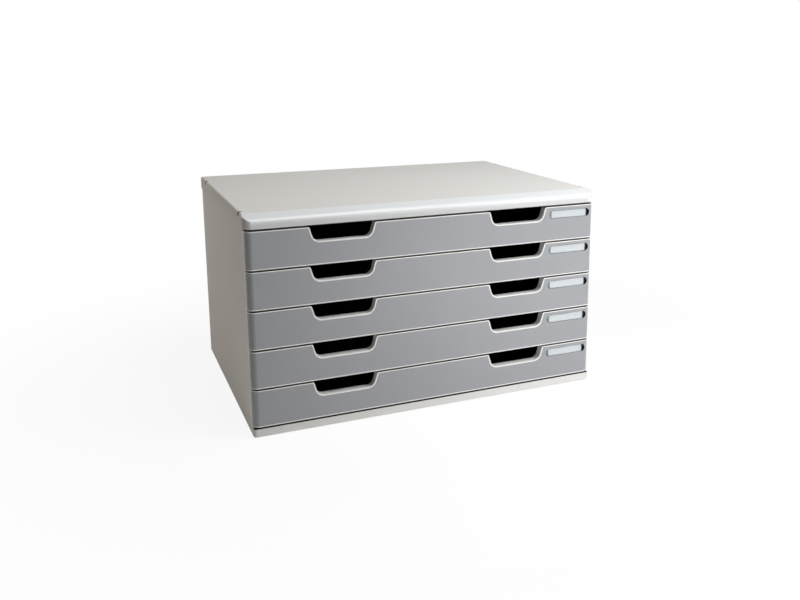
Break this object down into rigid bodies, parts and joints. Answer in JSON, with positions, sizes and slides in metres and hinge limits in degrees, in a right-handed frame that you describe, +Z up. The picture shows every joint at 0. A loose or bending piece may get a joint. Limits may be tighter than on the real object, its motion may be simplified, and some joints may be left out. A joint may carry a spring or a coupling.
{
  "type": "desktop drawer cabinet",
  "caption": "Low landscape desktop cabinet of light grey plastic with shallow sliding drawers, each with a grey fascia, finger grips and a label window.",
  "frame": {"origin": "bottom centre of the whole object, on the surface it stands on", "axes": "+X to the right seen from the front, +Y to the rear, +Z up; the drawers open towards -Y"},
  "size_m": [0.447, 0.32, 0.258],
  "materials": {
    "light_grey_plastic": "fine satin grain",
    "dark_grey_plastic": "fine satin grain",
    "black_plastic": "matt",
    "label_paper": "plain uncoated card",
    "clear_plastic": "polished clear",
    "foot_rubber": "matt",
    "screw_steel": "zinc plated"
  },
  "bodies": {
    "case": {"top_cover": "light_grey_plastic", "left_side_panel": "light_grey_plastic", "right_side_panel": "light_grey_plastic", "back_panel": "light_grey_plastic", "base_panel": "light_grey_plastic", "rubber_feet": "foot_rubber", "base_screws": "screw_steel", "back_screws": "screw_steel"},
    "drawer_1": {"drawer_1_tray": "black_plastic", "drawer_1_front": "light_grey_plastic", "drawer_1_fascia": "dark_grey_plastic", "drawer_1_label_card": "label_paper", "drawer_1_label_window": "clear_plastic"},
    "drawer_2": {"drawer_2_tray": "black_plastic", "drawer_2_front": "light_grey_plastic", "drawer_2_fascia": "dark_grey_plastic", "drawer_2_label_card": "label_paper", "drawer_2_label_window": "clear_plastic"},
    "drawer_3": {"drawer_3_tray": "black_plastic", "drawer_3_front": "light_grey_plastic", "drawer_3_fascia": "dark_grey_plastic", "drawer_3_label_card": "label_paper", "drawer_3_label_window": "clear_plastic"},
    "drawer_4": {"drawer_4_tray": "black_plastic", "drawer_4_front": "light_grey_plastic", "drawer_4_fascia": "dark_grey_plastic", "drawer_4_label_card": "label_paper", "drawer_4_label_window": "clear_plastic"},
    "drawer_5": {"drawer_5_tray": "black_plastic", "drawer_5_front": "light_grey_plastic", "drawer_5_fascia": "dark_grey_plastic", "drawer_5_label_card": "label_paper", "drawer_5_label_window": "clear_plastic"}
  },
  "joints": [
    {"name": "drawer_1_slide", "type": "slide", "parent": "case", "child": "drawer_1", "axis": [0, -1, 0], "range_m": [0, 0.235]},
    {"name": "drawer_2_slide", "type": "slide", "parent": "case", "child": "drawer_2", "axis": [0, -1, 0], "range_m": [0, 0.235]},
    {"name": "drawer_3_slide", "type": "slide", "parent": "case", "child": "drawer_3", "axis": [0, -1, 0], "range_m": [0, 0.235]},
    {"name": "drawer_4_slide", "type": "slide", "parent": "case", "child": "drawer_4", "axis": [0, -1, 0], "range_m": [0, 0.235]},
    {"name": "drawer_5_slide", "type": "slide", "parent": "case", "child": "drawer_5", "axis": [0, -1, 0], "range_m": [0, 0.235]}
  ]
}
